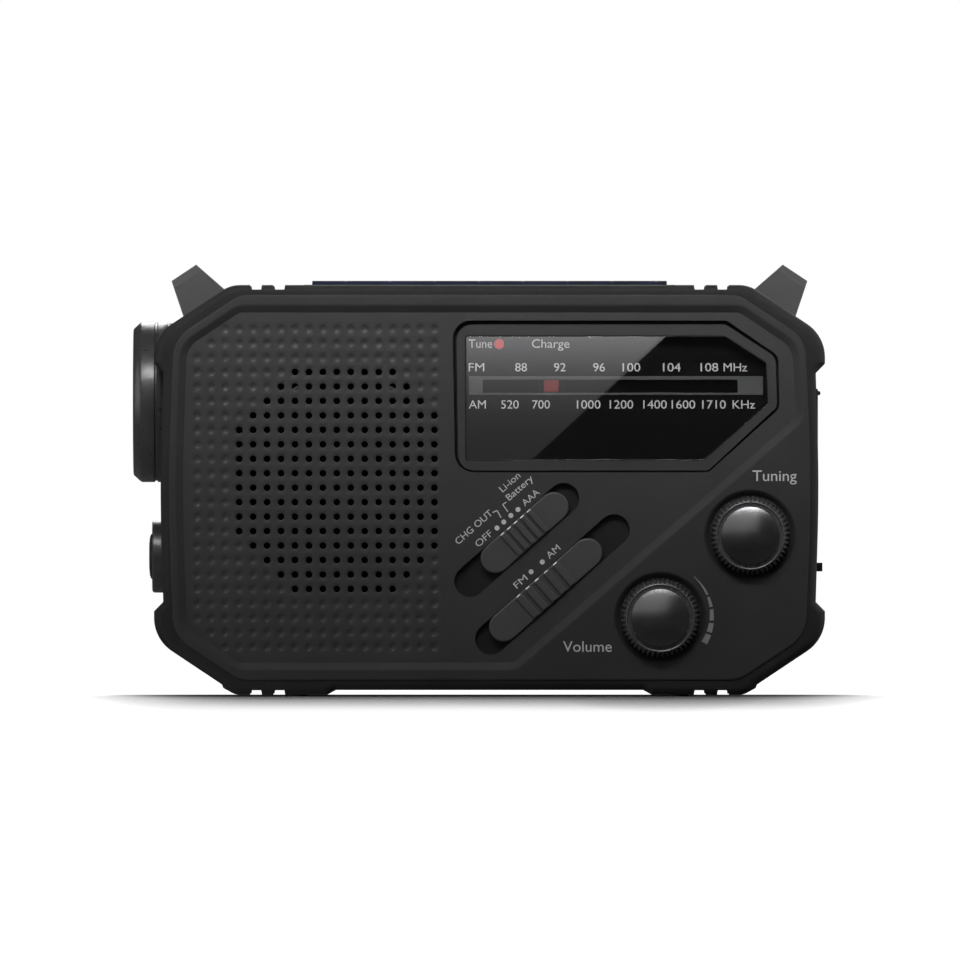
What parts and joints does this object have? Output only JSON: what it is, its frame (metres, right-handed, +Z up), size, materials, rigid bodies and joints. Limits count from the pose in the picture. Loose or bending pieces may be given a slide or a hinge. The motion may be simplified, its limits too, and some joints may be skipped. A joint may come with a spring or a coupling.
{
  "type": "emergency radio",
  "caption": "Black portable emergency radio with slide-rule dial, speaker grille, side torch, solar panel, folding crank generator, fold-out aerial and strap lugs.",
  "frame": {"origin": "middle of the whole object's box, on the surface its feet stand on", "axes": "+X to the right as seen from the front, +Y from the front towards the back, +Z up"},
  "size_m": [0.1732, 0.0644, 0.1081],
  "materials": {
    "satin_black_plastic": "satin, finely grained",
    "black_rubber": "soft matt",
    "gloss_black_plastic": "gloss",
    "dial_black": "smooth",
    "clear_window": "clear, polished",
    "red_plastic": "smooth",
    "plated_steel": "plated",
    "chrome": "polished",
    "brass": "turned",
    "white_acetal": "moulded",
    "milky_plastic": "moulded",
    "speaker_paper": "pressed paper",
    "circuit_board": "green solder mask",
    "ferrite": "sintered, matt",
    "cell_wrap": "blue shrink sleeve",
    "solar_glass": "opaque cells under clear resin"
  },
  "bodies": {
    "cabinet": {"front_cabinet": "satin_black_plastic", "front_panel": "satin_black_plastic", "rear_cabinet": "satin_black_plastic", "left_strap_lug": "satin_black_plastic", "right_strap_lug": "satin_black_plastic", "dial_bezel": "satin_black_plastic", "front_bumper": "black_rubber", "rear_bumper": "black_rubber", "front_left_foot": "black_rubber", "front_right_foot": "black_rubber", "rear_left_foot": "black_rubber", "rear_right_foot": "black_rubber", "torch_barrel": "gloss_black_plastic", "torch_button_bezel": "gloss_black_plastic", "dial_plate": "dial_black", "battery_tray": "dial_black", "dial_lens": "clear_window", "torch_lens": "clear_window", "tune_lamp": "red_plastic", "case_screw_1": "plated_steel", "case_screw_2": "plated_steel", "case_screw_3": "plated_steel", "case_screw_4": "plated_steel", "volume_control": "plated_steel", "power_switch": "plated_steel", "band_switch": "plated_steel", "speaker_frame": "plated_steel", "usb_out_socket": "plated_steel", "usb_in_socket": "plated_steel", "generator": "plated_steel", "torch_reflector": "chrome", "tuning_capacitor": "milky_plastic", "speaker_cone": "speaker_paper", "main_board": "circuit_board", "ferrite_aerial": "ferrite", "lithium_cell": "cell_wrap", "aaa_cell_1": "cell_wrap", "aaa_cell_2": "cell_wrap", "aaa_cell_3": "cell_wrap", "solar_panel": "solar_glass"},
    "tuning": {"tuning_knob": "satin_black_plastic", "dial_drum": "white_acetal"},
    "pointer": {"dial_pointer": "red_plastic"},
    "volume": {"volume_knob": "satin_black_plastic"},
    "power_slide_cap": {"power_slider": "satin_black_plastic"},
    "band_slide_cap": {"band_slider": "satin_black_plastic"},
    "torch_push": {"torch_button": "black_rubber"},
    "siren": {"siren_slider": "gloss_black_plastic"},
    "cover": {"port_cover": "black_rubber"},
    "door": {"battery_door": "satin_black_plastic"},
    "crank": {"crank_arm": "satin_black_plastic", "crank_gear": "white_acetal"},
    "grip_pin": {"crank_pin": "plated_steel"},
    "grip": {"crank_grip": "satin_black_plastic"},
    "idler": {"idler_gear": "white_acetal"},
    "rotor": {"generator_pinion": "brass"},
    "aerial": {"aerial_knuckle": "chrome", "aerial_tube_1": "chrome"},
    "aerial_middle": {"aerial_tube_2": "chrome"},
    "aerial_tip": {"aerial_tube_3": "chrome"}
  },
  "joints": [
    {"name": "tuning_turn", "type": "hinge", "parent": "cabinet", "child": "tuning", "pos_m": [0.0679, -0.02815, 0.0402], "axis": [0, 1, 0], "range_deg": [-86, 297]},
    {"name": "pointer_slide", "type": "slide", "parent": "cabinet", "child": "pointer", "axis": [1, 0, 0], "range_m": [-0.0121, 0.0416]},
    {"name": "volume_turn", "type": "hinge", "parent": "cabinet", "child": "volume", "pos_m": [0.0454, -0.02815, 0.01965], "axis": [0, 1, 0], "range_deg": [-135, 135]},
    {"name": "power_slide", "type": "slide", "parent": "cabinet", "child": "power_slide_cap", "axis": [0.749, 0, 0.6626], "range_m": [-0.0047, 0.00235]},
    {"name": "band_slide", "type": "slide", "parent": "cabinet", "child": "band_slide_cap", "axis": [0.749, 0, 0.6626], "range_m": [0, 0.00373]},
    {"name": "torch_press", "type": "slide", "parent": "cabinet", "child": "torch_push", "axis": [1, 0, 0], "range_m": [0, 0.0008], "stiffness_N_per_m": 400},
    {"name": "siren_slide", "type": "slide", "parent": "cabinet", "child": "siren", "axis": [0, 1, 0], "range_m": [0, 0.0025]},
    {"name": "port_cover_open", "type": "hinge", "parent": "cabinet", "child": "cover", "pos_m": [0.08425, -0.00265, 0.05], "axis": [0, 1, 0], "range_deg": [0, 110]},
    {"name": "battery_door_open", "type": "hinge", "parent": "cabinet", "child": "door", "pos_m": [-0.0343, 0.03175, 0.0223], "axis": [-1, 0, 0], "range_deg": [0, 100]},
    {"name": "crank_turn", "type": "hinge", "parent": "cabinet", "child": "crank", "pos_m": [0.0327, 0.01385, 0.054], "axis": [0, 1, 0], "continuous": true},
    {"name": "grip_fold", "type": "hinge", "parent": "crank", "child": "grip_pin", "pos_m": [0.0327, 0.02725, 0.027], "axis": [-1, 0, 0], "range_deg": [0, 90]},
    {"name": "grip_spin", "type": "hinge", "parent": "grip_pin", "child": "grip", "pos_m": [0.0327, 0.02725, 0.027], "axis": [0, 0, 1], "continuous": true},
    {"name": "idler_spin", "type": "hinge", "parent": "cabinet", "child": "idler", "pos_m": [0.05219, 0.01185, 0.04275], "axis": [0, 1, 0], "continuous": true},
    {"name": "rotor_spin", "type": "hinge", "parent": "cabinet", "child": "rotor", "pos_m": [0.04414, 0.00985, 0.02881], "axis": [0, 1, 0], "continuous": true},
    {"name": "aerial_swing", "type": "hinge", "parent": "cabinet", "child": "aerial", "pos_m": [0.0796, 0.01815, 0.083], "axis": [0, -1, 0], "range_deg": [0, 180]},
    {"name": "aerial_pull_middle", "type": "slide", "parent": "aerial", "child": "aerial_middle", "axis": [0, 0, -1], "range_m": [0, 0.044]},
    {"name": "aerial_pull_tip", "type": "slide", "parent": "aerial_middle", "child": "aerial_tip", "axis": [0, 0, -1], "range_m": [0, 0.044]}
  ],
  "couplings": [
    {"joint": "pointer_slide", "follows": "tuning_turn", "m_per_rad": 0.008},
    {"joint": "idler_spin", "follows": "crank_turn", "ratio": -4},
    {"joint": "rotor_spin", "follows": "crank_turn", "ratio": 14.4}
  ]
}
